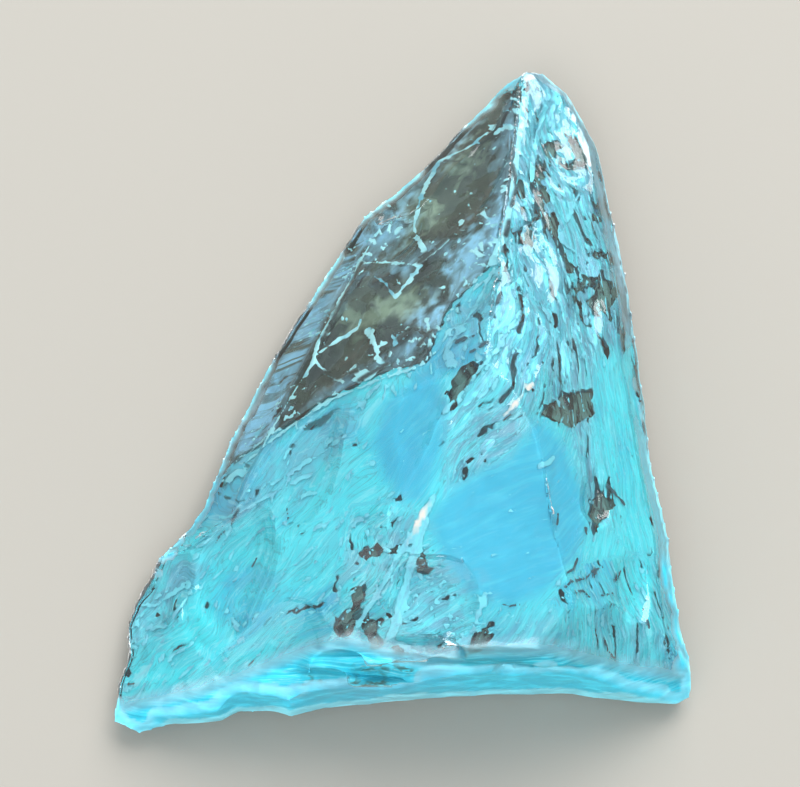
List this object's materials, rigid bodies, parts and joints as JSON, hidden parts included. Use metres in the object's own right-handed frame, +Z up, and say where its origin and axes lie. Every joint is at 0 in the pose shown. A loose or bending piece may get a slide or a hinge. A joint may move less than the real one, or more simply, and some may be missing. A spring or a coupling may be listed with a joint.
{
  "type": "rough aquamarine crystal fragment",
  "caption": "Rough broken fragment of clear blue aquamarine crystal, a flat-lying wedge with sharp fracture faces, a display mineral specimen.",
  "frame": {"origin": "below the middle of the fragment, on the flat broken face that it rests on", "axes": "+Z up from the resting face, +Y towards the narrow tip, +X to the right when the broad broken base is nearest"},
  "size_m": [0.0424, 0.05, 0.0155],
  "materials": {
    "aquamarine": "clear sea-blue crystal with glassy fracture faces, pale veils inside and frosted chipped edges"
  },
  "bodies": {
    "root": {"crystal": "aquamarine"}
  },
  "joints": []
}
